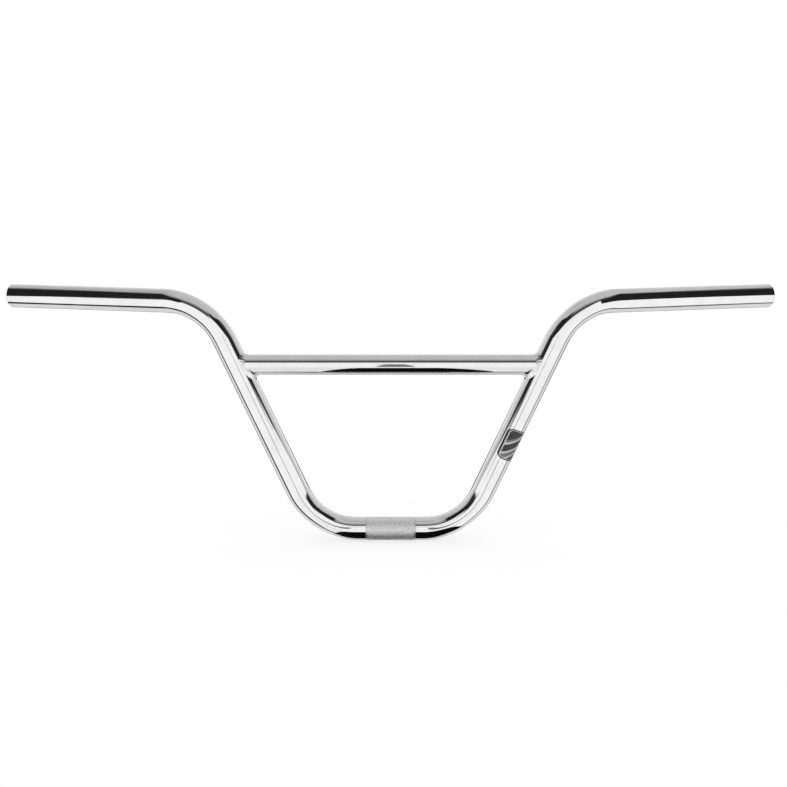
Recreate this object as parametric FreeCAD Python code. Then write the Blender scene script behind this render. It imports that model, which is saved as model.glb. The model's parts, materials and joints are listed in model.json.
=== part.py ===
import FreeCAD, Part
import math
import os

from FreeCAD import Placement, Rotation, Vector

# Freestyle bicycle handlebar: one bent steel tube, a mitred crossbar, two weld beads and a film decal.
# Frame: origin at the centre of the stem clamp zone, +X to the right end, +Y back towards the rider,
# +Z up along the rise. Lengths are in millimetres and angles in degrees.

# Overall size of the bar
OVERALL_WIDTH = 736.6        # tip to tip, 29 in
RISE = 222.25                # clamp centre to grip end centre, 8.75 in
BACKSWEEP = 11.0             # grips turn back towards the rider
UPSWEEP = 1.0                # grips climb towards their ends

# Main tube and its bends
TUBE_DIAMETER = 22.2
TUBE_WALL = 1.4
BOTTOM_STRAIGHT = 62.0       # straight run between the two lower bends
LEG_ANGLE = 65.5             # legs above the horizontal
LOWER_BEND_RADIUS = 63.5     # at the tube's centreline
UPPER_BEND_RADIUS = 63.5
END_BEVEL = 0.5              # deburred rims at both open ends

# Knurled clamp zone, as the cylinder over its crests
KNURL_LENGTH = 48.0
KNURL_RAISE = 0.2

# Crossbar and the weld beads that hold it
CROSSBAR_DIAMETER = 19.05
CROSSBAR_WALL = 1.0
CROSSBAR_HEIGHT = 160.0      # its axis above the clamp's axis
WELD_HEIGHT = 1.5            # a bead's top over the crossbar's skin
WELD_WIDTH = 3.2             # a bead's reach out from the leg's skin
WELD_BEVEL = 1.2             # its sloping face, taken off the corner between the two

# Film decal wrapped on the outer front of the right leg
DECAL_LENGTH = 31.0
DECAL_WIDTH = 20.8           # straight across the tube
DECAL_CORNER = 4.5
DECAL_FILM = 0.12
DECAL_HEIGHT = 86.0          # its middle above the clamp's axis
DECAL_TURN = 36.0            # its middle outward of the tube's front

# Worked out from the sizes above
TUBE_RADIUS = TUBE_DIAMETER / 2
BORE_RADIUS = TUBE_RADIUS - TUBE_WALL
CROSSBAR_RADIUS = CROSSBAR_DIAMETER / 2
CROSSBAR_BORE = CROSSBAR_RADIUS - CROSSBAR_WALL
SIDES = {"left": -1, "right": 1}


def on_side(vector, side):
    """A point or direction of the right half, mirrored to the given side of the bar."""
    return Vector(side * vector.x, vector.y, vector.z)


def bar_path():
    """Corner points and directions of the right half of the centreline.

    The leg and grip lengths are solved so that the end lands on the overall width and the rise.
    """
    leg = math.radians(LEG_ANGLE)
    back = math.radians(BACKSWEEP)
    up = math.radians(UPSWEEP)
    leg_dir = Vector(math.cos(leg), 0, math.sin(leg))
    grip_dir = Vector(math.cos(back) * math.cos(up), math.sin(back) * math.cos(up), math.sin(up))
    bend_start = Vector(BOTTOM_STRAIGHT / 2, 0, 0)
    leg_start = bend_start + Vector(math.sin(leg), 0, 1 - math.cos(leg)) * LOWER_BEND_RADIUS

    turn = leg_dir.getAngle(grip_dir)
    inward = (grip_dir - leg_dir * leg_dir.dot(grip_dir)).normalize()
    bend_step = leg_dir * (UPPER_BEND_RADIUS * math.sin(turn))
    bend_step += inward * (UPPER_BEND_RADIUS * (1 - math.cos(turn)))

    rim_reach = (TUBE_RADIUS - END_BEVEL) * math.sqrt(1 - grip_dir.x ** 2)
    across = OVERALL_WIDTH / 2 - rim_reach - leg_start.x - bend_step.x
    climb = RISE - leg_start.z - bend_step.z
    cross = leg_dir.x * grip_dir.z - leg_dir.z * grip_dir.x
    leg_length = (across * grip_dir.z - climb * grip_dir.x) / cross
    grip_length = (leg_dir.x * climb - leg_dir.z * across) / cross

    leg_end = leg_start + leg_dir * leg_length
    grip_start = leg_end + bend_step
    return {
        "bend_start": bend_start,
        "leg_start": leg_start,
        "leg_end": leg_end,
        "grip_start": grip_start,
        "grip_end": grip_start + grip_dir * grip_length,
        "leg_dir": leg_dir,
        "grip_dir": grip_dir,
        "inward": inward,
        "turn": math.degrees(turn),
    }


PATH = bar_path()


def straight_rod(start, end, radius):
    """Round bar from one point to another."""
    return Part.makeCylinder(radius, (end - start).Length, start, end - start)


def bend_rod(start, direction, inward, bend_radius, angle, radius):
    """Round bar turned about the bend's centre, which lies inward of its start."""
    disc = Part.Face(Part.Wire(Part.makeCircle(radius, start, direction)))
    return disc.revolve(start + inward * bend_radius, direction.cross(inward), angle)


def half_rods(side, radius):
    """Round bars along the bends, the leg and the grip of one side."""
    point = {name: on_side(PATH[name], side) for name in PATH if name != "turn"}
    along = Vector(side, 0, 0)
    upward = Vector(0, 0, 1)
    leg_dir = point["leg_dir"]
    inward = point["inward"]
    return [
        bend_rod(point["bend_start"], along, upward, LOWER_BEND_RADIUS, LEG_ANGLE, radius),
        straight_rod(point["leg_start"], point["leg_end"], radius),
        bend_rod(point["leg_end"], leg_dir, inward, UPPER_BEND_RADIUS, PATH["turn"], radius),
        straight_rod(point["grip_start"], point["grip_end"], radius),
    ]


def bent_rod(radius):
    """Round bar of one radius along the whole bent path, end to end."""
    middle = straight_rod(on_side(PATH["bend_start"], -1), PATH["bend_start"], radius)
    rods = half_rods(SIDES["left"], radius) + half_rods(SIDES["right"], radius)
    return middle.multiFuse(rods).removeSplitter()


def end_rims(tube):
    """The circular edges at the two open ends, outside and inside."""
    ends = [on_side(PATH["grip_end"], side) for side in SIDES.values()]
    circles = [edge for edge in tube.Edges if edge.Curve.TypeId == "Part::GeomCircle"]
    return [
        edge for edge in circles
        if min(edge.Curve.Center.distanceToPoint(end) for end in ends) < END_BEVEL
    ]


def main_tube():
    """Bent tube with its open bore, bevelled rims and the raised clamp zone."""
    half_knurl = Vector(KNURL_LENGTH / 2, 0, 0)
    knurl = straight_rod(on_side(half_knurl, -1), half_knurl, TUBE_RADIUS + KNURL_RAISE)
    tube = bent_rod(TUBE_RADIUS).fuse(knurl).cut(bent_rod(BORE_RADIUS))
    return tube.makeChamfer(END_BEVEL, end_rims(tube))


def leg_point(height):
    """Point on the right leg's axis at a height above the clamp."""
    along = (height - PATH["leg_start"].z) / PATH["leg_dir"].z
    return PATH["leg_start"] + PATH["leg_dir"] * along


def leg_rod(side, radius):
    """Round bar along one leg and the bends at its ends."""
    lower, leg, upper = half_rods(side, radius)[:3]
    return leg.multiFuse([lower, upper])


def crossbar_rod(radius):
    """Round bar on the crossbar's axis, from one leg's axis to the other's."""
    joint = leg_point(CROSSBAR_HEIGHT)
    return straight_rod(on_side(joint, -1), joint, radius)


def crossbar():
    """Straight tube with both ends mitred to the legs they butt against."""
    tube = crossbar_rod(CROSSBAR_RADIUS).cut(crossbar_rod(CROSSBAR_BORE))
    for side in SIDES.values():
        tube = tube.cut(leg_rod(side, TUBE_RADIUS))
    return tube


def free_edges(bead, leg, bar):
    """Edges of a bead that lie off the skins of both bars that it joins."""
    found = []
    for edge in bead.Edges:
        middle = Part.Vertex(edge.valueAt((edge.FirstParameter + edge.LastParameter) / 2))
        if min(middle.distToShape(leg)[0], middle.distToShape(bar)[0]) > 1e-3:
            found.append(edge)
    return found


def left_weld_bead():
    """Bevelled weld bead in the corner all round the crossbar's left end."""
    left = SIDES["left"]
    joint = on_side(leg_point(CROSSBAR_HEIGHT), left)
    bar_middle = Vector(0, 0, CROSSBAR_HEIGHT)
    leg = leg_rod(left, TUBE_RADIUS)
    bar = straight_rod(joint, bar_middle, CROSSBAR_RADIUS)
    bar_sleeve = straight_rod(joint, bar_middle, CROSSBAR_RADIUS + WELD_HEIGHT)
    bead = leg_rod(left, TUBE_RADIUS + WELD_WIDTH).common(bar_sleeve).cut(leg).cut(bar)
    return bead.makeChamfer(WELD_BEVEL, free_edges(bead, leg, bar))


def leg_decal():
    """Film with rounded corners, wrapped on the right leg."""
    leg_dir = PATH["leg_dir"]
    middle = leg_point(DECAL_HEIGHT)
    half = leg_dir * (DECAL_LENGTH / 2)
    film = straight_rod(middle - half, middle + half, TUBE_RADIUS + DECAL_FILM)
    film = film.cut(straight_rod(middle - half, middle + half, TUBE_RADIUS))

    front = Vector(0, -1, 0)
    outward = leg_dir.cross(front)
    turn = math.radians(DECAL_TURN)
    facing = front * math.cos(turn) + outward * math.sin(turn)
    corner = Vector(-DECAL_LENGTH / 2, -DECAL_WIDTH / 2, 0)
    outline = Part.makeBox(DECAL_LENGTH, DECAL_WIDTH, TUBE_DIAMETER, corner)
    upright = [edge for edge in outline.Edges if abs(edge.tangentAt(edge.FirstParameter).z) > 0.5]
    outline = outline.makeFillet(DECAL_CORNER, upright)
    outline.Placement = Placement(middle, Rotation(leg_dir, facing.cross(leg_dir), facing, "ZXY"))
    return film.common(outline)


def nodes():
    """Every node of the bar by name."""
    bead = left_weld_bead()
    return {
        "main_tube": main_tube(),
        "crossbar": crossbar(),
        "left_weld_bead": bead,
        "right_weld_bead": bead.mirror(Vector(0, 0, 0), Vector(1, 0, 0)),
        "leg_decal": leg_decal(),
    }


if __name__ == "__main__":
    os.makedirs("parts", exist_ok=True)
    for name, shape in nodes().items():
        shape.exportStep(f"parts/{name}.step")
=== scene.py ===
import json
import math

import bpy
import numpy as np
from bpy.props import FloatProperty, FloatVectorProperty, IntProperty, PointerProperty
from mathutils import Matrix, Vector


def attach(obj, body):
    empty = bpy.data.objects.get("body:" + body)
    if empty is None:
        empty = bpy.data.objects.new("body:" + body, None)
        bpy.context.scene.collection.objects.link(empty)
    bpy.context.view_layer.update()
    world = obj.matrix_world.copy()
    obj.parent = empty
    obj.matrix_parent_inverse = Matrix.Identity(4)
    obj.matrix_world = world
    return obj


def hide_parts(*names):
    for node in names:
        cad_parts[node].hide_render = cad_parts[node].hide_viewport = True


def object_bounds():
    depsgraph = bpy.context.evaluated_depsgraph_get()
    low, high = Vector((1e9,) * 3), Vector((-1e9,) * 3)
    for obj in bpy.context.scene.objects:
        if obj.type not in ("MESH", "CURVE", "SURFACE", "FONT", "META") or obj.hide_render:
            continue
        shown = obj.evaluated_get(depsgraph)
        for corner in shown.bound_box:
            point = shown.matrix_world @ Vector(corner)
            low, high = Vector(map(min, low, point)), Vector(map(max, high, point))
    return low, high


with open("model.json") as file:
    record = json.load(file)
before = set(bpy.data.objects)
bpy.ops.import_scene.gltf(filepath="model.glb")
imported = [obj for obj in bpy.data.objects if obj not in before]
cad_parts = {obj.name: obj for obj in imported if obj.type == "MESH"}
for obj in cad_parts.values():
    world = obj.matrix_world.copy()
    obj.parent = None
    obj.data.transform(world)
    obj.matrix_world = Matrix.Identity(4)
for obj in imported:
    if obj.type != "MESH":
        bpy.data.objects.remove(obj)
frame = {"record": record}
CAD_LOW, CAD_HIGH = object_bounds()

bl_info = {
    "name": "Freestyle Handlebar",
    "version": (1, 0, 0),
    "blender": (4, 5, 0),
    "location": "3D View > Sidebar > Handlebar",
    "description": "Builds a chromed freestyle handlebar and a pale studio round its solids",
    "category": "Add Mesh",
}

MM = 0.001
MOUNTS = {mount["name"]: mount for mount in frame["record"]["mounts"]}
GRIP_RADIUS = MOUNTS["right_grip"]["dims"]["r_mm"] * MM
BORE_RADIUS = MOUNTS["right_end_bore"]["dims"]["r_mm"] * MM
CLAMP_RADIUS = MOUNTS["stem_clamp"]["dims"]["r_mm"] * MM
CLAMP_LENGTH = MOUNTS["stem_clamp"]["dims"]["length_mm"] * MM
SIDES = {"left": -1.0, "right": 1.0}

# Rows of the main tube's grid along each bend and each straight run
BEND_STEPS = 44
STRAIGHT_ROWS = 12

# Scales of the finishes' noise, per metre, and the height of the plate's slow waves
HAZE_SCALE = 60.0
WAVE_SCALE = 42.0
WAVE_HEIGHT = 0.00002
WEAR_SCALE = 120.0
WELD_SCALE = 260.0
# Noise scale of the small dark spots of painted shade in the weld beads
PIT_SHADE_SCALE = 900.0
FILM_SCALE = 700.0
CLOTH_SCALE = 30.0

# Print of the film: where its border and the pale line inside that end, how soft their edges are, and how
# much of the bars' slant goes along the leg
BORDER_END = 0.0010
LINE_END = 0.0016
PRINT_EDGE = 0.00005
BAR_SLANT = 0.645

# Tone of the dark wall behind the bar, as the metal mirrors it
WALL_TONE = 0.05


def length_prop(name, description, default):
    """Float property for a length in metres."""
    return FloatProperty(name=name, description=description, default=default, min=0.0,
                         subtype="DISTANCE", unit="LENGTH", precision=5)


def angle_prop(name, description, default):
    """Float property for an angle, with its default in degrees."""
    return FloatProperty(name=name, description=description, default=math.radians(default),
                         subtype="ANGLE", unit="ROTATION")


def share_prop(name, description, default):
    """Float property for a share between none and all."""
    return FloatProperty(name=name, description=description, default=default, min=0.0, max=1.0,
                         subtype="FACTOR", precision=4)


def count_prop(name, description, default):
    """Whole number of like things, at least four."""
    return IntProperty(name=name, description=description, default=default, min=4)


def colour_prop(name, description, default):
    """Colour property for a finish."""
    return FloatVectorProperty(name=name, description=description, default=default, size=4,
                               subtype="COLOR", min=0.0, max=1.0)


class HandlebarSizes(bpy.types.PropertyGroup):
    """Sizes of the bar, its knurl, its welds and its decal."""

    width: length_prop("Width", "Tip to tip", CAD_HIGH.x - CAD_LOW.x)
    rise: length_prop("Rise", "Clamp centre to grip end centre", 0.22225)
    backsweep: angle_prop("Backsweep", "Turn of the grips towards the rider", 11.0)
    upsweep: angle_prop("Upsweep", "Climb of the grips towards their ends", 1.0)
    tube_radius: length_prop("Tube radius", "Outside of the main tube", GRIP_RADIUS)
    bore_radius: length_prop("Bore radius", "Inside of the main tube", BORE_RADIUS)
    bottom_straight: length_prop("Bottom straight", "Straight run between the lower bends", 0.062)
    leg_angle: angle_prop("Leg angle", "Legs above the horizontal", 65.5)
    lower_bend: length_prop("Lower bend", "Centreline radius of the lower bends", 0.0635)
    upper_bend: length_prop("Upper bend", "Centreline radius of the upper bends", 0.0635)
    bend_flat: share_prop("Bend flattening", "Share of the tube's width lost in the plane of a bend", 0.075)
    rim_bevel: length_prop("Rim bevel", "Deburred edge at the open ends", 0.0005)

    knurl_radius: length_prop("Knurl radius", "Over the crests of the clamp zone", CLAMP_RADIUS)
    knurl_length: length_prop("Knurl length", "Width of the clamp zone", CLAMP_LENGTH)
    knurl_depth: length_prop("Knurl depth", "Crest to groove", 0.00040)
    knurl_round: count_prop("Knurl round", "Diamonds round the tube", 34)
    knurl_along: count_prop("Knurl along", "Diamonds along the clamp zone", 23)

    crossbar_radius: length_prop("Crossbar radius", "Outside of the crossbar", 0.009525)
    crossbar_wall: length_prop("Crossbar wall", "Thickness of the crossbar's wall", 0.001)
    crossbar_height: length_prop("Crossbar height", "Crossbar axis above the clamp axis", 0.160)
    weld_foot: length_prop("Weld foot", "Mean width of a bead on either tube", 0.0046)
    weld_lean: length_prop("Weld lean", "How much wider the foot is in the sharp corner", 0.0010)
    weld_fill: share_prop("Weld fill", "From a hollow face at 0 to a flat one at 1", 0.25)
    ripple_pitch: length_prop("Ripple pitch", "Distance between the ripples of a bead", 0.0021)
    ripple_depth: length_prop("Ripple depth", "Height of the ripples of a bead", 0.00007)

    decal_length: length_prop("Decal length", "Along the leg", 0.031)
    decal_width: length_prop("Decal width", "Straight across the tube", 0.0208)
    decal_corner: length_prop("Decal corner", "Rounding of the film's corners", 0.0045)
    decal_film: length_prop("Decal film", "Thickness of the film", 0.00012)
    decal_height: length_prop("Decal height", "Film's middle above the clamp axis", 0.086)
    decal_turn: angle_prop("Decal turn", "Film's middle outward of the tube's front", 36.0)


class HandlebarFinish(bpy.types.PropertyGroup):
    """Colours and polish of the bar's materials."""

    chrome: colour_prop("Chrome", "Bright chrome plate", (0.90, 0.90, 0.905, 1.0))
    chrome_haze: colour_prop("Chrome haze", "Chrome where its polish is clouded", (0.84, 0.84, 0.85, 1.0))
    chrome_roughness: share_prop("Chrome roughness", "Polish of the plate", 0.045)
    knurl_crest: colour_prop("Knurl crest", "Plate on the knurl's crests", (0.98, 0.98, 0.98, 1.0))
    # Painted shade: the knurl's colour down in its grooves, darker than on the crests
    knurl_groove_shade: colour_prop("Knurl groove", "Duller plate down in the grooves", (0.66, 0.66, 0.67, 1.0))
    knurl_roughness: share_prop("Knurl roughness", "Polish of the knurled band", 0.26)
    knurl_mirror: share_prop("Knurl mirror", "Share that its facets mirror, the rest being scattered", 0.66)
    weld_roughness: share_prop("Weld roughness", "Polish of the beads", 0.22)
    # Painted shade: colour of the small dark spots standing in for pits in the beads
    pit_shade: colour_prop("Weld pit", "Small dark pits in the beads", (0.30, 0.30, 0.31, 1.0))
    film_dark: colour_prop("Film dark", "Border and bars of the decal", (0.012, 0.012, 0.013, 1.0))
    film_mid: colour_prop("Film grey", "Half-tone bars of the decal", (0.22, 0.22, 0.23, 1.0))
    film_light: colour_prop("Film light", "Pale lines of the decal", (0.80, 0.80, 0.81, 1.0))
    film_roughness: share_prop("Film roughness", "Gloss of the decal", 0.22)


class HandlebarStudio(bpy.types.PropertyGroup):
    """Camera, floor and light."""

    aim: FloatVectorProperty(name="Aim", description="Point the camera looks at", size=3,
                             default=(0.0028, 0.0, 0.1324), subtype="TRANSLATION", unit="LENGTH")
    distance: length_prop("Distance", "Camera to its aim point", 0.9)
    elevation: angle_prop("Elevation", "Camera above the aim point", 9.5)
    lens: FloatProperty(name="Lens", description="Focal length in millimetres on a 36 mm sensor",
                        default=43.54, min=1.0, subtype="DISTANCE_CAMERA", unit="CAMERA")
    floor: colour_prop("Floor", "Pale floor", (0.33, 0.33, 0.33, 1.0))
    floor_lift: share_prop("Floor lift", "Own light of the floor as the camera sees it", 0.72)
    flag: colour_prop("Flag", "Black cloth that the metal mirrors from below", (0.012, 0.012, 0.012, 1.0))
    wing: colour_prop("Wing", "Black cloth in front of each grip", (0.028, 0.028, 0.028, 1.0))
    stand: colour_prop("Stand", "Grey cloth round the camera's stand", (0.34, 0.34, 0.34, 1.0))
    hood: colour_prop("Hood", "Dark cloth over the camera", (0.30, 0.30, 0.30, 1.0))
    panel: colour_prop("Panel", "White panel in front of the bar", (1.0, 1.0, 1.0, 1.0))
    roof: colour_prop("Roof", "Grey panel over the bar", (0.57, 0.57, 0.57, 1.0))
    fill: share_prop("Fill light", "Even light from all round on matt surfaces", 0.85)


def settings():
    """The scene's three groups of settings."""
    scene = bpy.context.scene
    return scene.handlebar_sizes, scene.handlebar_finish, scene.handlebar_studio


def unit(vectors):
    """Vectors scaled to length one along the last axis."""
    vectors = np.asarray(vectors, float)
    return vectors / np.linalg.norm(vectors, axis=-1, keepdims=True)


def spun(vectors, axis, angles):
    """Vectors turned about a unit axis, one row per angle.

    Each is v times the angle's cos, plus axis x v times its sin, plus v's part along the axis times 1 - cos.
    """
    angles = np.asarray(angles, float)[:, None]
    along = axis * (vectors @ axis)[..., None]
    cos, sin = np.cos(angles), np.sin(angles)
    return vectors * cos + np.cross(axis, vectors) * sin + along * (1 - cos)


def bar_path(sizes):
    """Corner points and directions of the right half's centreline.

    Two unknown lengths, the leg's and the grip's, solve two linear equations: the rim reaches half the
    width, and the grip's end sits at the rise.
    """
    leg, back, up = sizes.leg_angle, sizes.backsweep, sizes.upsweep
    leg_dir = np.array([math.cos(leg), 0.0, math.sin(leg)])
    grip_dir = np.array([math.cos(back) * math.cos(up), math.sin(back) * math.cos(up), math.sin(up)])
    bend_start = np.array([sizes.bottom_straight / 2, 0.0, 0.0])
    leg_start = bend_start + sizes.lower_bend * np.array([math.sin(leg), 0.0, 1 - math.cos(leg)])
    turn = math.acos(leg_dir @ grip_dir)
    inward = unit(grip_dir - leg_dir * (leg_dir @ grip_dir))
    step = sizes.upper_bend * (leg_dir * math.sin(turn) + inward * (1 - math.cos(turn)))
    rim = (sizes.tube_radius - sizes.rim_bevel) * math.sqrt(1 - grip_dir[0] ** 2)
    lengths = np.linalg.solve(
        np.array([[leg_dir[0], grip_dir[0]], [leg_dir[2], grip_dir[2]]]),
        np.array([sizes.width / 2 - rim - leg_start[0] - step[0], sizes.rise - leg_start[2] - step[2]]),
    )
    leg_end = leg_start + leg_dir * lengths[0]
    grip_start = leg_end + step
    return {
        "bend_start": bend_start, "leg_start": leg_start, "leg_end": leg_end, "grip_start": grip_start,
        "grip_end": grip_start + grip_dir * lengths[1], "leg_dir": leg_dir, "grip_dir": grip_dir,
        "inward": inward, "turn": turn,
    }


def half_stations(sizes):
    """Stations from the knurl's end to the right rim: centres, the two vectors across and the squeeze.

    A straight run keeps its two vectors. A bend turns the centre and both vectors about the bend's axis. The
    squeeze points at the bend's centre. Its length is the share of the width that the bend loses, and it
    swells by a smooth step over the first third of the bend and fades over the last.
    """
    path = bar_path(sizes)
    across = np.array([[0.0, 1.0, 0.0], [0.0, 0.0, 1.0]])

    def bend(start, frame_in, centre, axis, angle):
        share = np.linspace(0.0, 1.0, BEND_STEPS + 1)
        rows = len(share)
        places = centre + spun(np.repeat((start - centre)[None], rows, 0), axis, angle * share)
        frames = np.stack([spun(np.repeat(v[None], rows, 0), axis, angle * share) for v in frame_in], 1)
        near = np.clip(3 * np.minimum(share, 1 - share), 0.0, 1.0)[:, None]
        return places, frames, unit(centre - places) * (sizes.bend_flat * near ** 2 * (3 - 2 * near))

    def run(start, end, frame_in, count):
        places = start + (end - start) * np.linspace(0.0, 1.0, count)[:, None]
        return places, np.repeat(frame_in[None], count, 0), np.zeros((count, 3))

    knurl_end = np.array([sizes.knurl_length / 2, 0.0, 0.0])
    low_axis = np.array([0.0, -1.0, 0.0])
    low_centre = path["bend_start"] + np.array([0.0, 0.0, sizes.lower_bend])
    parts = [run(knurl_end, path["bend_start"], across, 2)]
    parts.append(bend(path["bend_start"], across, low_centre, low_axis, sizes.leg_angle))
    parts.append(run(path["leg_start"], path["leg_end"], parts[-1][1][-1], STRAIGHT_ROWS))
    high_axis = np.cross(path["leg_dir"], path["inward"])
    high_centre = path["leg_end"] + path["inward"] * sizes.upper_bend
    parts.append(bend(path["leg_end"], parts[-1][1][-1], high_centre, high_axis, path["turn"]))
    last = path["grip_end"] - path["grip_dir"] * sizes.rim_bevel
    parts.append(run(path["grip_start"], last, parts[-1][1][-1], STRAIGHT_ROWS))
    joined = [np.concatenate([lists[0]] + [rest[1:] for rest in lists[1:]]) for lists in zip(*parts)]
    return (*joined, path)


def mirrored(vectors):
    """Vectors of the right half carried over to the left half."""
    return vectors * np.array([-1.0, 1.0, 1.0])


def grid_object(name, points, before, after):
    """Mesh object from a grid of points that closes on itself in both directions.

    Points has one row per ring. Before and after are the normals at each ring as the faces before it and
    after it see them, so a ring can be smooth or a sharp edge.
    """
    rows, cols = points.shape[:2]
    here = np.arange(rows * cols).reshape(rows, cols)
    right = np.roll(here, -1, 1)
    below = np.roll(here, -1, 0)
    across = np.roll(below, -1, 1)
    faces = np.stack([here, right, across, below], -1).reshape(-1, 4)
    corner = np.stack([
        after, np.roll(after, -1, 1), np.roll(np.roll(before, -1, 0), -1, 1), np.roll(before, -1, 0),
    ], 2).reshape(-1, 3)
    return mesh_object(name, points.reshape(-1, 3), faces, corner)


def mesh_object(name, points, faces, corner_normals, uv=None):
    """Mesh object at the origin, with its faces turned to agree with the given corner normals."""
    flat = np.cross(points[faces[:, 1]] - points[faces[:, 0]], points[faces[:, -1]] - points[faces[:, 0]])
    wide = np.cross(points[faces[:, 2]] - points[faces[:, 0]], points[faces[:, -1]] - points[faces[:, 1]])
    size = faces.shape[1]
    told = corner_normals.reshape(-1, size, 3).sum(1)
    if np.sum((flat + wide) * told) < 0:
        faces = faces[:, ::-1]
        corner_normals = corner_normals.reshape(-1, size, 3)[:, ::-1].reshape(-1, 3)
        if uv is not None:
            uv = uv.reshape(-1, size, 2)[:, ::-1].reshape(-1, 2)
    mesh = bpy.data.meshes.new(name)
    mesh.from_pydata(points.tolist(), [], faces.tolist())
    mesh.polygons.foreach_set("use_smooth", np.ones(len(faces), bool))
    if uv is not None:
        mesh.uv_layers.new(name="Film").data.foreach_set("uv", np.ascontiguousarray(uv, np.float32).ravel())
    if mesh.validate():
        raise ValueError(f"{name} has faces that could not be kept")
    mesh.normals_split_custom_set(unit(corner_normals).tolist())
    mesh.update()
    piece = bpy.data.objects.new(name, mesh)
    bpy.context.scene.collection.objects.link(piece)
    return piece


def ring_angles(count):
    """Even angles round a ring, without the last, which is the first."""
    return np.arange(count) * (2 * math.pi / count)


def ring_normals(frames, angles):
    """Unit vectors out of the tube: first vector times cos plus second times sin of each angle."""
    return (frames[:, None, 0] * np.cos(angles)[None, :, None]
            + frames[:, None, 1] * np.sin(angles)[None, :, None])


def squeezed(out, squeeze):
    """Round rings pressed to ellipses: places at radius one, and their unit normals.

    The part of each place along the squeeze shrinks by the squeeze's length s, and the same part of its
    normal is divided by 1 - s.
    """
    size = np.linalg.norm(squeeze, axis=-1)[:, None, None]
    toward = squeeze[:, None] / np.maximum(size, 1e-9)
    along = toward * np.sum(out * toward, -1, keepdims=True)
    return out - along * size, unit(out + along * (size / (1 - size)))


def finished(piece, material, slot, *nodes):
    """Gives a piece its material and its body, and hides the solids that it stands for."""
    piece.data.materials.append(material)
    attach(piece, "root")
    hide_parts(*nodes)


def leg_point(path, height):
    """Point on the right leg's axis at a height above the clamp axis."""
    return path["leg_start"] + path["leg_dir"] * ((height - path["leg_start"][2]) / path["leg_dir"][2])


def node(tree, kind, **values):
    """New shader node with its settings and the defaults of its named inputs."""
    made = tree.nodes.new(kind)
    for key, value in values.items():
        if key in made.inputs:
            made.inputs[key].default_value = value
        else:
            setattr(made, key, value)
    return made


def plug(tree, value, socket):
    """Links a signal or an output to an input, or sets the input to a number or a colour."""
    if isinstance(value, Signal):
        tree.links.new(value.socket, socket)
    elif hasattr(value, "is_output"):
        tree.links.new(value, socket)
    else:
        socket.default_value = value


class Signal:
    """Number in a shader tree, whose arithmetic adds Math nodes."""

    def __init__(self, tree, socket):
        self.tree = tree
        self.socket = socket

    def join(self, operation, *values):
        made = node(self.tree, "ShaderNodeMath", operation=operation)
        for socket, value in zip(made.inputs, values):
            plug(self.tree, value, socket)
        return Signal(self.tree, made.outputs[0])

    def __add__(self, other):
        return self.join("ADD", self, other)

    def __sub__(self, other):
        return self.join("SUBTRACT", self, other)

    def __rsub__(self, other):
        return self.join("SUBTRACT", other, self)

    def __mul__(self, other):
        return self.join("MULTIPLY", self, other)

    def __pow__(self, other):
        return self.join("POWER", self, other)

    def __neg__(self):
        return self.join("MULTIPLY", self, -1.0)

    def __abs__(self):
        return self.join("ABSOLUTE", self)

    __radd__ = __add__
    __rmul__ = __mul__

    def step(self, start, end, low=0.0, high=1.0):
        """Smooth step from low at start to high at end, where end may also be the smaller of the two."""
        made = node(self.tree, "ShaderNodeMapRange", interpolation_type="SMOOTHSTEP")
        for name, value in (("Value", self), ("From Min", start), ("From Max", end), ("To Min", low),
                            ("To Max", high)):
            plug(self.tree, value, made.inputs[name])
        return Signal(self.tree, made.outputs["Result"])

    def toward(self, other, share):
        """This number moved to another by a share."""
        return self + (other - self) * share


def blank_material(name):
    """New node material with a Principled shader, its tree and its shader."""
    material = bpy.data.materials.new(name)
    material.use_nodes = True
    tree = material.node_tree
    tree.nodes.clear()
    shader = node(tree, "ShaderNodeBsdfPrincipled")
    output = node(tree, "ShaderNodeOutputMaterial")
    tree.links.new(shader.outputs["BSDF"], output.inputs["Surface"])
    return material, tree, shader


def blend_colours(tree, factor, first, second):
    """Output of a colour Mix node between two colours or outputs."""
    made = node(tree, "ShaderNodeMix", data_type="RGBA")
    for name, value in (("Factor", factor), ("A", first), ("B", second)):
        plug(tree, value, made.inputs[name])
    return made.outputs["Result"]


def noise(tree, scale, detail=2.0, roughness=0.5):
    """Noise on Object coordinates as a signal."""
    place = node(tree, "ShaderNodeTexCoord")
    made = node(tree, "ShaderNodeTexNoise", Scale=scale, Detail=detail, Roughness=roughness)
    tree.links.new(place.outputs["Object"], made.inputs["Vector"])
    return Signal(tree, made.outputs["Fac"])


def plate_colour(tree, finish, clouds):
    """Bright chrome that turns hazy where the clouds are thick."""
    return blend_colours(tree, clouds.step(0.35, 0.75), tuple(finish.chrome), tuple(finish.chrome_haze))


def plate_polish(clouds, roughness):
    """Roughness that swings about its mean with the clouds."""
    return clouds.step(0.3, 0.8, 0.75 * roughness, 1.35 * roughness)


def chrome_material(name, finish):
    """Mirror plate: metal with faint clouds in its colour and polish and a slow waviness."""
    material, tree, shader = blank_material(name)
    shader.inputs["Metallic"].default_value = 1.0
    clouds = noise(tree, HAZE_SCALE, 4.0, 0.6)
    plug(tree, plate_colour(tree, finish, clouds), shader.inputs["Base Color"])
    plug(tree, plate_polish(clouds, finish.chrome_roughness), shader.inputs["Roughness"])
    relief = node(tree, "ShaderNodeBump", Strength=1.0, Distance=WAVE_HEIGHT)
    plug(tree, noise(tree, WAVE_SCALE), relief.inputs["Height"])
    plug(tree, relief.outputs["Normal"], shader.inputs["Normal"])
    return material


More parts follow.
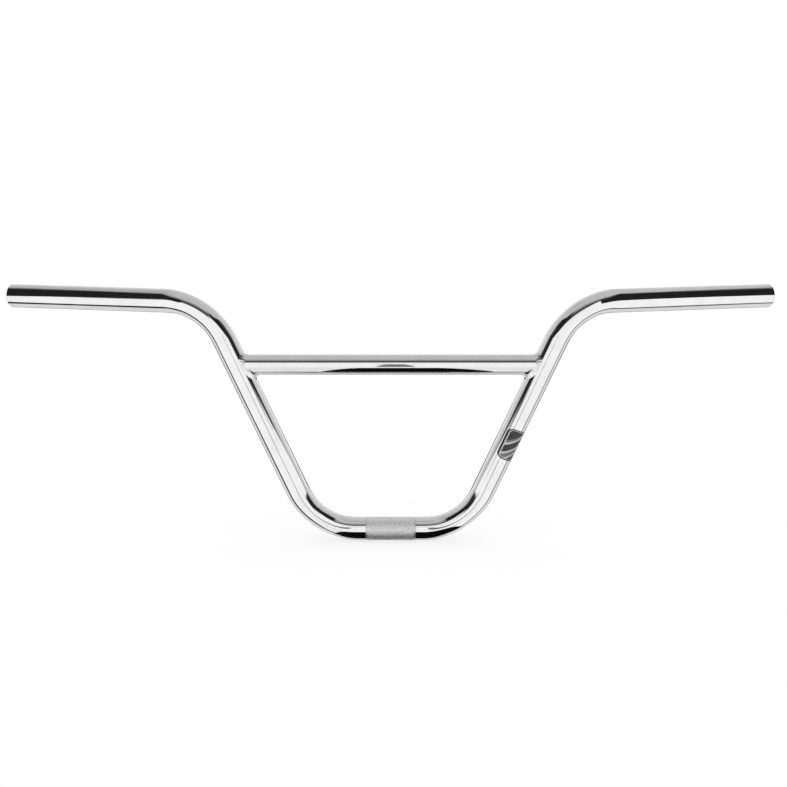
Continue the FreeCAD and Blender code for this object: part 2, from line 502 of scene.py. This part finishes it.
def weld_material(finish):
    """Plate over weld metal: clouded chrome with small dark spots of painted shade for pits."""
    material, tree, shader = blank_material("weld_plate")
    shader.inputs["Metallic"].default_value = 1.0
    clouds = noise(tree, WELD_SCALE, 4.0, 0.6)
    # Painted shade: small dark spots where pits would hold shade
    shaded_pits = noise(tree, PIT_SHADE_SCALE).step(0.66, 0.74)
    plain = plate_colour(tree, finish, clouds)
    plug(tree, blend_colours(tree, shaded_pits, plain, tuple(finish.pit_shade)), shader.inputs["Base Color"])
    plug(tree, plate_polish(clouds, finish.weld_roughness), shader.inputs["Roughness"])
    return material


def knurl_material(finish):
    """Knurled plate: painted shade makes it darker down in the grooves, by the height that each point of the
    band carries.

    Facets too fine for the mesh scatter light, so only a share of the plate mirrors.
    """
    material, tree, shader = blank_material("knurled_plate")
    shader.inputs["Metallic"].default_value = finish.knurl_mirror
    lift = Signal(tree, node(tree, "ShaderNodeAttribute", attribute_name="lift").outputs["Fac"])
    wear = noise(tree, WEAR_SCALE, 4.0, 0.6)
    # Painted shade darkens the grooves by their depth, and wear noise varies the crests' plate
    groove_shade_and_wear = lift.step(0.05, 0.40) * wear.step(0.2, 0.8, 0.9, 1.0)
    colour = blend_colours(tree, groove_shade_and_wear, tuple(finish.knurl_groove_shade), tuple(finish.knurl_crest))
    plug(tree, colour, shader.inputs["Base Color"])
    rough = finish.knurl_roughness
    plug(tree, wear.step(0.3, 0.8, 0.8 * rough, 1.3 * rough), shader.inputs["Roughness"])
    return material


def film_material(finish):
    """Printed film: a dark border, a pale line and slanted bars of three tones under a gloss coat."""
    material, tree, shader = blank_material("decal_print")
    place = node(tree, "ShaderNodeUVMap", uv_map="Film")
    split = node(tree, "ShaderNodeSeparateXYZ")
    plug(tree, place.outputs["UV"], split.inputs["Vector"])
    along, across = Signal(tree, split.outputs["X"]), Signal(tree, split.outputs["Y"])
    slant = across * (1 - BAR_SLANT) + along * BAR_SLANT
    margin = Signal(tree, node(tree, "ShaderNodeAttribute", attribute_name="margin").outputs["Fac"])
    bars = node(tree, "ShaderNodeValToRGB")
    plug(tree, slant, bars.inputs["Fac"])
    dark, grey, pale = tuple(finish.film_dark), tuple(finish.film_mid), tuple(finish.film_light)
    ramp = bars.color_ramp
    ramp.interpolation = "CONSTANT"
    stops = (
        (0.0, dark), (0.26, pale), (0.31, grey), (0.40, pale),
        (0.45, dark), (0.60, pale), (0.655, grey), (0.70, dark),
    )
    ramp.elements[0].position, ramp.elements[0].color = stops[0]
    ramp.elements[1].position, ramp.elements[1].color = stops[-1]
    for position, colour in stops[1:-1]:
        ramp.elements.new(position).color = colour
    lined = blend_colours(tree, margin.step(LINE_END - PRINT_EDGE, LINE_END), pale, bars.outputs["Color"])
    printed = blend_colours(tree, margin.step(BORDER_END - PRINT_EDGE, BORDER_END), dark, lined)
    plug(tree, printed, shader.inputs["Base Color"])
    rough = finish.film_roughness
    plug(tree, noise(tree, FILM_SCALE).step(0.3, 0.7, 0.8 * rough, 1.25 * rough), shader.inputs["Roughness"])
    shader.inputs["Coat Weight"].default_value = 0.4
    shader.inputs["Coat Roughness"].default_value = 0.08
    return material


class HANDLEBAR_OT_main_tube(bpy.types.Operator):
    """Bent tube with its bore, bevelled rims and the neck under the knurl"""

    bl_idname = "handlebar.main_tube"
    bl_label = "Main Tube"

    ROUND = 96
    NECK_GAP = 0.00003

    def execute(self, context):
        """Each ring is its centre plus its radius times the squeezed vectors out of the tube.

        The rings run from the neck along the outside to the rim, over both bevels and back along the bore.
        """
        sizes, finish, _ = settings()
        centres, frames, squeeze, path = half_stations(sizes)
        angles = ring_angles(self.ROUND)
        neck = sizes.knurl_radius - sizes.knurl_depth - 2 * self.NECK_GAP

        rim = path["grip_end"]
        rim_frame = frames[-1]
        tube, bore, bevel = sizes.tube_radius, sizes.bore_radius, sizes.rim_bevel
        out_rows = len(centres)
        right_centres = np.concatenate([centres[:1], centres, [rim, rim], centres[::-1]])
        right_frames = np.concatenate([frames[:1], frames, [rim_frame, rim_frame], frames[::-1]])
        radii = np.concatenate([
            [neck], np.full(out_rows, tube), [tube - bevel, bore + bevel], np.full(out_rows, bore),
        ])
        right_squeeze = np.concatenate([squeeze[:1], squeeze, np.zeros((2, 3)), squeeze[::-1]])
        reach, out = squeezed(ring_normals(right_frames, angles), right_squeeze)
        points = right_centres[:, None] + reach * radii[:, None, None]

        # The normals turn sharply at the neck's step, the two bevels and the flat of the rim
        end_dir = path["grip_dir"]
        slope_out = unit(out[-1 - out_rows] + end_dir)
        slope_in = unit(end_dir - out[-1 - out_rows])
        flat = np.broadcast_to(end_dir, slope_out.shape)
        step_dir = np.broadcast_to(np.array([-1.0, 0.0, 0.0]), slope_out.shape)
        before, after = out.copy(), out.copy()
        last = out_rows
        after[0], before[1] = step_dir, step_dir
        after[last] = slope_out
        before[last + 1], after[last + 1] = slope_out, flat
        before[last + 2], after[last + 2] = flat, slope_in
        before[last + 3], after[last + 3] = slope_in, -out[last + 3]
        before[last + 4:], after[last + 4:] = -out[last + 4:], -out[last + 4:]

        # The left half runs the other way round the loop, so its rings and its two normals swap
        points = np.concatenate([points, mirrored(points[::-1])])
        before, after = (
            np.concatenate([before, mirrored(after[::-1])]),
            np.concatenate([after, mirrored(before[::-1])]),
        )
        piece = grid_object("bent_tube", points, before, after)
        finished(piece, chrome_material("chrome_plate", finish), "chrome_plate", "main_tube")
        return {"FINISHED"}


class HANDLEBAR_OT_knurl(bpy.types.Operator):
    """Diamond knurl of the clamp zone"""

    bl_idname = "handlebar.knurl"
    bl_label = "Knurl"

    SAMPLES = 6
    FADE_DIAMONDS = 1.5
    WALL = 0.00002

    def execute(self, context):
        """Radius is the groove's plus the depth times a height, which fades out at both ends of the band.

        Two families of grooves wind in opposite ways: u is the length in diamonds plus the angle in
        diamonds, and v is the first less the second. A groove lies where u or v is a whole number, and the
        height is twice the smaller distance of u and v from one. The normals lean by the slopes.
        """
        sizes, finish, _ = settings()
        around = np.arange(sizes.knurl_round * self.SAMPLES) / self.SAMPLES
        along = np.arange(sizes.knurl_along * self.SAMPLES + 1) / self.SAMPLES
        angles = around * (2 * math.pi / sizes.knurl_round)
        places = (along / sizes.knurl_along - 0.5) * sizes.knurl_length
        u = along[:, None] + around[None]
        v = along[:, None] - around[None]
        lift = 2 * np.minimum(np.abs(u - np.round(u)), np.abs(v - np.round(v)))
        fade = np.clip(np.minimum(along, along[::-1]) / self.FADE_DIAMONDS, 0.0, 1.0)[:, None]
        groove = sizes.knurl_radius - sizes.knurl_depth
        radii = groove + sizes.knurl_depth * (lift * fade)
        inside = groove - self.WALL
        radii = np.concatenate([radii, np.full((2, len(angles)), inside)])
        places = np.concatenate([places, [places[-1], places[0]]])
        out = np.stack([np.zeros_like(angles), np.cos(angles), np.sin(angles)], -1)
        points = out[None] * radii[..., None]
        points[..., 0] = places[:, None]
        normals = np.broadcast_to(out[None], points.shape).copy()
        slope_along = np.gradient(radii[:-2], places[:-2], axis=0)
        turn = angles[1]
        slope_round = (np.roll(radii[:-2], -1, 1) - np.roll(radii[:-2], 1, 1)) / (2 * turn * radii[:-2])
        aside = np.stack([np.zeros_like(angles), -np.sin(angles), np.cos(angles)], -1)
        normals[:-2] -= aside[None] * slope_round[..., None]
        normals[:-2, :, 0] -= slope_along
        normals[-2:] = -out[None]
        piece = grid_object("knurl_band", points, normals, normals)
        height = piece.data.attributes.new("lift", "FLOAT", "POINT")
        height.data.foreach_set("value", ((radii - groove) / sizes.knurl_depth).ravel().astype(np.float32))
        finished(piece, knurl_material(finish), "chrome_plate", "main_tube")
        return {"FINISHED"}


def seam_root(sizes, path, radius, angles):
    """Where a bar on the crossbar's axis meets the right leg's skin, round the bar.

    At each angle the leg's outward vector has the bar's y, and its inward part closes the unit circle; the
    point then slides along the leg to the bar's height.
    """
    bar_out = np.stack([np.zeros_like(angles), np.cos(angles), np.sin(angles)], -1)
    leg_in = np.array([-path["leg_dir"][2], 0.0, path["leg_dir"][0]])
    side = radius * bar_out[:, 1] / sizes.tube_radius
    leg_out = leg_in[None] * np.sqrt(1 - side ** 2)[:, None]
    leg_out[:, 1] = side
    root = path["leg_start"] + leg_out * sizes.tube_radius
    height = sizes.crossbar_height + radius * bar_out[:, 2]
    root = root + path["leg_dir"] * ((height - root[:, 2]) / path["leg_dir"][2])[:, None]
    return root, leg_out, bar_out


class HANDLEBAR_OT_crossbar(bpy.types.Operator):
    """Straight crossbar with its mitred ends"""

    bl_idname = "handlebar.crossbar"
    bl_label = "Crossbar"

    ROUND = 96
    ROWS = 25

    def execute(self, context):
        """Each line along the tube runs between the mitres: x is a share from -1 to 1 of the seam's x."""
        sizes, finish, _ = settings()
        path = bar_path(sizes)
        angles = ring_angles(self.ROUND)
        share = np.linspace(-1.0, 1.0, self.ROWS)
        walls = []
        for radius, order in ((sizes.crossbar_radius, 1), (sizes.crossbar_radius - sizes.crossbar_wall, -1)):
            root, _, out = seam_root(sizes, path, radius, angles)
            wall = np.repeat((out * radius)[None], self.ROWS, 0)
            wall[..., 2] += sizes.crossbar_height
            wall[..., 0] = (share * order)[:, None] * root[None, :, 0]
            walls.append(wall)
        out = np.repeat(out[None], self.ROWS, 0)
        points = np.concatenate(walls)
        before = np.concatenate([out, -out])
        after = before.copy()
        ends = np.broadcast_to(np.array([1.0, 0.0, 0.0]), out[0].shape)
        after[self.ROWS - 1], before[self.ROWS] = ends, ends
        after[-1], before[0] = -ends, -ends
        piece = grid_object("cross_tube", points, before, after)
        finished(piece, chrome_material("crossbar_plate", finish), "chrome_plate", "crossbar")
        return {"FINISHED"}


class HANDLEBAR_OT_welds(bpy.types.Operator):
    """Rippled weld beads round both ends of the crossbar"""

    bl_idname = "handlebar.welds"
    bl_label = "Weld Beads"

    ROUND = 240
    ROWS = 17
    SINK = 0.00006
    HEART = 0.00036
    RIPPLE_LAG = 2.2
    LEAST_RIPPLES = 4

    def bead(self, sizes, path):
        """Grid of the right bead: a curve from toe to toe carried round the seam.

        The toes lie a foot's width from the seam on either skin. The curve between them is quadratic with
        its control point between the seam and the middle of the toes, and ripples ride on it with a height
        that fades at the toes and a phase that lags in the middle.
        """
        angles = ring_angles(self.ROUND)
        root, leg_out, bar_out = seam_root(sizes, path, sizes.crossbar_radius, angles)
        seam = unit(np.cross(leg_out, bar_out))
        foot = (sizes.weld_foot - sizes.weld_lean * np.sin(angles))[:, None]
        up_leg = np.cross(seam, leg_out)
        up_leg *= np.sign(np.sum(up_leg * bar_out, -1, keepdims=True))
        up_bar = np.cross(seam, bar_out)
        up_bar *= np.sign(np.sum(up_bar * leg_out, -1, keepdims=True))

        leg_toe = root + up_leg * foot
        from_axis = leg_toe - path["leg_start"]
        on_axis = path["leg_start"] + path["leg_dir"] * (from_axis @ path["leg_dir"])[:, None]
        leg_toe = on_axis + unit(leg_toe - on_axis) * (sizes.tube_radius - self.SINK)
        bar_toe = root + up_bar * foot
        centre = bar_toe * np.array([1.0, 0.0, 0.0]) + np.array([0.0, 0.0, sizes.crossbar_height])
        bar_toe = centre + unit(bar_toe - centre) * (sizes.crossbar_radius - self.SINK)

        control = root * (1 - sizes.weld_fill) + (leg_toe + bar_toe) * (sizes.weld_fill / 2)
        t = np.linspace(0.0, 1.0, self.ROWS)[:, None, None]
        face = leg_toe * (1 - t) ** 2 + control * (2 * t * (1 - t)) + bar_toe * t ** 2
        run = np.concatenate([[0.0], np.cumsum(np.linalg.norm(np.diff(root, axis=0), axis=1))])
        total = run[-1] + np.linalg.norm(root[0] - root[-1])
        count = max(self.LEAST_RIPPLES, round(total / sizes.ripple_pitch))
        phase = 2 * math.pi * count * run / total
        swell = np.sin(math.pi * t[..., 0])
        wave = np.sin(phase[None] + self.RIPPLE_LAG * swell) * swell
        lift = unit(leg_out + bar_out)
        face = face + lift[None] * (sizes.ripple_depth * wave)[..., None]
        heart = root - (leg_out + bar_out) * self.HEART
        return np.concatenate([face, heart[None]]), lift

    def execute(self, context):
        """Normals are the cross product of the steps round and across the bead; the left bead mirrors."""
        sizes, finish, _ = settings()
        path = bar_path(sizes)
        points, lift = self.bead(sizes, path)
        round_step = np.roll(points, -1, 1) - np.roll(points, 1, 1)
        row_step = np.gradient(points[:-1], axis=0)
        normals = np.cross(round_step[:-1], row_step)
        normals *= np.sign(np.sum(normals * lift[None], -1, keepdims=True))
        normals = np.concatenate([unit(normals), -lift[None]])
        before, after = normals.copy(), normals.copy()
        after[-2], before[0] = -lift, -lift
        material = weld_material(finish)
        for name, side in SIDES.items():
            swap = mirrored if side < 0 else np.array
            piece = grid_object(f"{name}_weld", swap(points), swap(before), swap(after))
            finished(piece, material, "chrome_weld", f"{name}_weld_bead")
        return {"FINISHED"}


class HANDLEBAR_OT_decal(bpy.types.Operator):
    """Printed film on the outer front of the right leg"""

    bl_idname = "handlebar.decal"
    bl_label = "Leg Decal"

    ROWS = 61
    COLS = 49
    GAP = 0.00001

    def film_grid(self, sizes):
        """Rounded rectangle as rows along and columns across, and each place's distance in from the edge.

        The half width loses a circle's rise over the last corner radius at both ends.
        """
        long, wide, corner = sizes.decal_length / 2, sizes.decal_width / 2, sizes.decal_corner
        along = long * np.sin(np.linspace(-math.pi / 2, math.pi / 2, self.ROWS))
        past = np.clip(np.abs(along) - (long - corner), 0.0, corner)
        half = wide - corner + np.sqrt(corner ** 2 - past ** 2)
        share = np.linspace(-1.0, 1.0, self.COLS)
        flat = np.stack(np.broadcast_arrays(along[:, None], half[:, None] * share[None]), -1)
        over = np.abs(flat) - np.array([long - corner, wide - corner])
        outside = np.linalg.norm(np.maximum(over, 0.0), axis=-1)
        margin = corner - outside - np.minimum(over.max(-1), 0.0)
        return flat, margin

    def execute(self, context):
        """A place across the chord becomes an angle round the tube by its arcsine.

        The top lies at the film's radius and the underside at the skin's, and a rim joins their edges.
        """
        sizes, finish, _ = settings()
        path = bar_path(sizes)
        flat, margin = self.film_grid(sizes)
        front = np.array([0.0, -1.0, 0.0])
        outward = np.cross(path["leg_dir"], front)
        facing = front * math.cos(sizes.decal_turn) + outward * math.sin(sizes.decal_turn)
        aside = np.cross(facing, path["leg_dir"])
        bend = np.arcsin(flat[..., 1] / sizes.tube_radius)[..., None]
        out = facing * np.cos(bend) + aside * np.sin(bend)
        axis = leg_point(path, sizes.decal_height) + path["leg_dir"] * flat[..., :1]
        top = axis + out * (sizes.tube_radius + sizes.decal_film)
        under = axis + out * (sizes.tube_radius + self.GAP)

        rows, cols = self.ROWS, self.COLS
        here = np.arange(rows * cols).reshape(rows, cols)
        quads = np.stack([here[:-1, :-1], here[:-1, 1:], here[1:, 1:], here[1:, :-1]], -1).reshape(-1, 4)
        loop = np.concatenate([here[0], here[1:, -1], here[-1, -2::-1], here[-2:0:-1, 0]])
        ahead = np.roll(loop, -1)
        count = rows * cols
        rim = np.stack([ahead, loop, loop + count, ahead + count], -1)
        faces = np.concatenate([quads, quads[:, ::-1] + count, rim])
        points = np.concatenate([top.reshape(-1, 3), under.reshape(-1, 3)])
        skin = np.concatenate([out.reshape(-1, 3), -out.reshape(-1, 3)])
        rim_out = unit(np.cross(points[ahead] - points[np.roll(loop, 1)], skin[loop]))
        middle = points[:count].mean(0)
        rim_out *= np.sign(np.sum(rim_out * (points[loop] - middle), -1, keepdims=True))
        rim_normals = np.stack([np.roll(rim_out, -1, 0), rim_out, rim_out, np.roll(rim_out, -1, 0)], 1)
        corners = np.concatenate([skin[faces[:-len(rim)]], rim_normals]).reshape(-1, 3)
        uv = np.tile(flat.reshape(-1, 2) / np.array([sizes.decal_length, sizes.decal_width]) + 0.5, (2, 1))
        piece = mesh_object("leg_film", points, faces, corners, uv[faces].reshape(-1, 2))
        spare = piece.data.attributes.new("margin", "FLOAT", "POINT")
        spare.data.foreach_set("value", np.tile(margin.ravel(), 2).astype(np.float32))
        finished(piece, film_material(finish), "decal_film", "leg_decal")
        return {"FINISHED"}


def dark_field(e, s, a):
    """Tone above the white front: a dark field that fades up to a grey ceiling."""
    # Degrees by which the fade climbs towards the sides
    climb = a.step(0.34, 0.50) * 34.0 - a.step(0.60, 0.72) * 5.0 - a.step(0.76, 0.84) * 8.0
    fade_end = 66.0 + climb + a.step(0.88, 1.0) * 20.0
    fade = e.step(28.0 + climb, fade_end) ** a.step(0.40, 0.52, 1.0, 2.0)
    # The field is lighter at the far sides
    dark = 0.035 - a.step(0.20, 0.46) * 0.02 + a.step(0.60, 0.85) * 0.012 + a.step(0.925, 0.97) * 0.55
    # The ceiling is lighter towards the back, with a shaded patch left of the middle
    shaded = (-s).step(0.20, 0.36) * a.step(0.50, 0.42) * e.step(130.0, 100.0)
    ceiling = e.step(90.0, 165.0, 0.56, 0.71) + e.step(142.0, 164.0) * 0.25 - shaded * 0.11
    return dark.toward(ceiling, fade)


def low_ground(e, s, a):
    """Tone under the dark field: a white front, a dark line low down and pale ground behind the line."""
    middle = a.step(0.35, 0.15)
    # The line's angle, which wanders a little from side to side, its half width and its soft edge
    line = -90.0 - middle * 13.0 + (-s).step(0.30, 0.45) * 6.0 - (-s).step(0.52, 0.60) * 6.0
    line = line - s.step(0.30, 0.40) * s.step(0.58, 0.44) * 6.0
    half = 4.5 + middle * 4.5 + (-s).step(0.30, 0.45) * 4.0 + (-s).step(0.54, 0.60) * 2.0
    soft = 4.0 + a.step(0.66, 0.80) * 4.0
    drawn = e.step(line + half + soft, line + half) * e.step(line - half - soft, line - half)
    # Tones of the front, the ground and the line
    front = 1.0 - middle * e.step(-22.0, -40.0) * 0.14
    ground = a.step(0.15, 0.35, 0.60, 0.76)
    tone = 0.02 + s.step(0.2, 0.5) * 0.10
    return ground.toward(front, e.step(line - 4.0, line + 4.0)).toward(tone, drawn)


def front_edge(s, a):
    """Angle at which the white front meets the dark field, and half the width of that edge."""
    # The edge is lowest beside the middle and climbs with a square towards the far sides
    over = a.join("MAXIMUM", a - 0.62 - (-s).step(0.3, 0.5) * 0.025, 0.0)
    edge = 20.0 - a.step(0.28, 0.62) * 15.0 + over * over * 310.0 + a.step(0.92, 0.96) * 12.0
    # It is lower on the left and higher on the right
    edge = edge - (-s).step(0.55, 0.65) * a.step(0.76, 0.70) * 4.0
    edge = edge + s.step(0.12, 0.30) * s.step(0.70, 0.60) * 8.0
    return edge, a.step(0.3, 0.5, 6.0, 7.0) - a.step(0.70, 0.80) * 3.0


def studio_tones(tree, studio):
    """Grey of the studio in each direction, as bright metal mirrors it.

    With e the angle up from the camera's axis in degrees, s the direction's part to the right and a its
    size, the studio is a white front, a dark field above it that fades up to a grey ceiling, a dark line
    low down with pale ground behind it, and a dark wall at the back. The edges of the fields move with a by
    smooth steps.
    """
    place = node(tree, "ShaderNodeTexCoord")
    rise = studio.elevation

    def part_along(vector):
        made = node(tree, "ShaderNodeVectorMath", operation="DOT_PRODUCT")
        made.inputs[1].default_value = vector
        plug(tree, place.outputs["Generated"], made.inputs[0])
        return Signal(tree, made.outputs["Value"])

    towards = part_along((0.0, -math.cos(rise), math.sin(rise)))
    upwards = part_along((0.0, math.sin(rise), math.cos(rise)))
    s = part_along((1.0, 0.0, 0.0))
    a = abs(s)
    e = upwards.join("ARCTAN2", upwards, towards) * math.degrees(1.0)

    edge, soft = front_edge(s, a)
    tone = low_ground(e, s, a).toward(dark_field(e, s, a), e.step(edge - soft, edge + soft))
    wall = (e.step(164.0, 171.0) + (-e).step(157.0, 165.0)) * a.step(0.95, 0.60)
    return tone.toward(WALL_TONE, wall)


def studio_world(studio):
    """World that is white to the camera, even to matt surfaces and a studio of grey fields to metal."""
    world = bpy.data.worlds.new("studio")
    world.use_nodes = True
    tree = world.node_tree
    tree.nodes.clear()
    rays = node(tree, "ShaderNodeLightPath")
    fill = (studio.fill, studio.fill, studio.fill, 1.0)
    seen = blend_colours(tree, rays.outputs["Is Glossy Ray"], fill, studio_tones(tree, studio))
    seen = blend_colours(tree, rays.outputs["Is Camera Ray"], seen, (1.0, 1.0, 1.0, 1.0))
    sky = node(tree, "ShaderNodeBackground", Strength=1.0)
    plug(tree, seen, sky.inputs["Color"])
    output = node(tree, "ShaderNodeOutputWorld")
    plug(tree, sky.outputs["Background"], output.inputs["Surface"])
    return world


def floor_material(studio):
    """Matt pale floor that lifts itself to white where the camera sees it unshaded."""
    material = bpy.data.materials.new("pale_floor")
    material.use_nodes = True
    tree = material.node_tree
    tree.nodes.clear()
    matt = node(tree, "ShaderNodeBsdfDiffuse", Color=tuple(studio.floor))
    glow = node(tree, "ShaderNodeEmission", Color=(1.0, 1.0, 1.0, 1.0))
    rays = node(tree, "ShaderNodeLightPath")
    plug(tree, Signal(tree, rays.outputs["Is Camera Ray"]) * studio.floor_lift, glow.inputs["Strength"])
    both = node(tree, "ShaderNodeAddShader")
    plug(tree, matt.outputs["BSDF"], both.inputs[0])
    plug(tree, glow.outputs["Emission"], both.inputs[1])
    output = node(tree, "ShaderNodeOutputMaterial")
    plug(tree, both.outputs["Shader"], output.inputs["Surface"])
    return material


def cloth_material(name, colour, glow):
    """Cloth of a flag or a lit panel, with a faint unevenness."""
    material, tree, shader = blank_material(name)
    thin = tuple(0.9 * part for part in colour[:3]) + (1.0,)
    weave = blend_colours(tree, noise(tree, CLOTH_SCALE), tuple(colour), thin)
    if glow:
        shader.inputs["Base Color"].default_value = (0.0, 0.0, 0.0, 1.0)
        shader.inputs["Emission Strength"].default_value = glow
    plug(tree, weave, shader.inputs["Emission Color" if glow else "Base Color"])
    shader.inputs["Roughness"].default_value = 0.95
    shader.inputs["Specular IOR Level"].default_value = 0.0
    return material


def upright(depth, *corners):
    """Corners of an upright cloth at a depth in front of the bar, from their places across and up."""
    return tuple((across, -depth, up) for across, up in corners)


# Flat cloths that only the metal mirrors: the setting with the colour, then the corners in order
CLOTHS = {
    "flag": ("flag", ((-0.088, 0.004, -0.11), (0.130, 0.004, -0.11),
                      (0.085, -0.66, -0.235), (-0.058, -0.66, -0.235))),
    "left_wing": ("wing", upright(0.2, (-0.255, 0.45), (-0.277, 0.31), (-0.295, 0.280), (-0.372, 0.299),
                                  (-0.464, 0.280), (-0.573, 0.230), (-0.65, 0.19), (-0.65, 0.45))),
    "right_wing": ("wing", upright(0.2, (0.255, 0.45), (0.285, 0.28), (0.300, 0.24), (0.33, 0.224),
                                   (0.403, 0.257), (0.484, 0.269), (0.70, 0.266), (0.70, 0.45))),
    "stand": ("stand", upright(0.90, (-0.028, -0.15), (0.042, -0.15), (0.042, 0.02), (-0.028, 0.02))),
    "hood": ("hood", upright(0.90, (-0.028, 0.02), (0.042, 0.02), (0.024, 0.33), (-0.014, 0.33))),
    "panel": ("panel", upright(0.45, (-0.30, 0.25), (0.30, 0.25), (0.30, 0.385), (-0.30, 0.385))),
    "roof": ("roof", ((-0.20, -0.22, 0.70), (0.20, -0.22, 0.70), (0.36, 0.10, 0.70), (-0.36, 0.10, 0.70))),
}
LIT_CLOTHS = {"panel", "roof"}


class HANDLEBAR_OT_stage(bpy.types.Operator):
    """Pale floor, soft light and the camera"""

    bl_idname = "handlebar.stage"
    bl_label = "Stage"

    FLOOR_HALF = 6.0
    FLOOR_DROP = 0.0003
    SENSOR_WIDTH = 36.0
    NEAR, FAR = 0.01, 50.0

    def lay_floor(self, studio):
        """Level square just below the bar, which the metal doesn't mirror."""
        corners = self.FLOOR_HALF * np.array([[-1, -1, 0], [1, -1, 0], [1, 1, 0], [-1, 1, 0]], float)
        corners[:, 2] = CAD_LOW.z - self.FLOOR_DROP
        floor = mesh_object("floor", corners, np.arange(4)[None], np.tile([0.0, 0.0, 1.0], (4, 1)))
        floor.data.materials.append(floor_material(studio))
        floor.visible_glossy = False

    def hang_cloth(self, name, corners, material):
        """Flat cloth through its corners, which only the metal mirrors."""
        corners = np.array(corners)
        count = len(corners)
        facing = unit(np.cross(corners[1] - corners[0], corners[-1] - corners[0]))
        piece = mesh_object(f"{name}_cloth", corners, np.arange(count)[None], np.tile(facing, (count, 1)))
        piece.data.materials.append(material)
        piece.visible_camera = False
        piece.visible_diffuse = False
        piece.visible_shadow = False

    def place_camera(self, scene, studio):
        """Camera at its distance and elevation from the aim point."""
        back = Vector((0.0, -math.cos(studio.elevation), math.sin(studio.elevation)))
        camera = bpy.data.objects.new("camera", bpy.data.cameras.new("camera"))
        camera.data.lens = studio.lens
        camera.data.sensor_width = self.SENSOR_WIDTH
        camera.data.clip_start = self.NEAR
        camera.data.clip_end = self.FAR
        camera.location = Vector(studio.aim) + back * studio.distance
        camera.rotation_euler = (-back).to_track_quat("-Z", "Y").to_euler()
        scene.collection.objects.link(camera)
        scene.camera = camera

    def execute(self, context):
        _, _, studio = settings()
        scene = context.scene
        scene.view_settings.view_transform = "Standard"
        scene.world = studio_world(studio)
        self.lay_floor(studio)
        for name, (setting, corners) in CLOTHS.items():
            glow = 1.0 if setting in LIT_CLOTHS else 0.0
            self.hang_cloth(name, corners, cloth_material(f"{name}_cloth", getattr(studio, setting), glow))
        self.place_camera(scene, studio)
        return {"FINISHED"}


class HANDLEBAR_PT_sidebar(bpy.types.Panel):
    """Settings and build steps of the handlebar"""

    bl_idname = "HANDLEBAR_PT_sidebar"
    bl_label = "Freestyle Handlebar"
    bl_space_type = "VIEW_3D"
    bl_region_type = "UI"
    bl_category = "Handlebar"

    def draw(self, context):
        for label, group in zip(("Sizes", "Finish", "Studio"), settings()):
            box = self.layout.box()
            box.label(text=label)
            for name in group.bl_rna.properties.keys():
                if name not in {"rna_type", "name"}:
                    box.prop(group, name)
        for operator in OPERATORS:
            self.layout.operator(operator.bl_idname)


OPERATORS = (
    HANDLEBAR_OT_main_tube,
    HANDLEBAR_OT_knurl,
    HANDLEBAR_OT_crossbar,
    HANDLEBAR_OT_welds,
    HANDLEBAR_OT_decal,
    HANDLEBAR_OT_stage,
)
CLASSES = (HandlebarSizes, HandlebarFinish, HandlebarStudio, *OPERATORS, HANDLEBAR_PT_sidebar)


def register():
    """Registers the classes and hangs the settings on the scene."""
    for made in CLASSES:
        bpy.utils.register_class(made)
    bpy.types.Scene.handlebar_sizes = PointerProperty(type=HandlebarSizes)
    bpy.types.Scene.handlebar_finish = PointerProperty(type=HandlebarFinish)
    bpy.types.Scene.handlebar_studio = PointerProperty(type=HandlebarStudio)


def unregister():
    """Takes the settings and the classes away again."""
    del bpy.types.Scene.handlebar_studio
    del bpy.types.Scene.handlebar_finish
    del bpy.types.Scene.handlebar_sizes
    for made in reversed(CLASSES):
        bpy.utils.unregister_class(made)


def main():
    """Builds every piece and the stage."""
    register()
    bpy.ops.handlebar.main_tube()
    bpy.ops.handlebar.knurl()
    bpy.ops.handlebar.crossbar()
    bpy.ops.handlebar.welds()
    bpy.ops.handlebar.decal()
    bpy.ops.handlebar.stage()


if __name__ == "__main__":
    main()
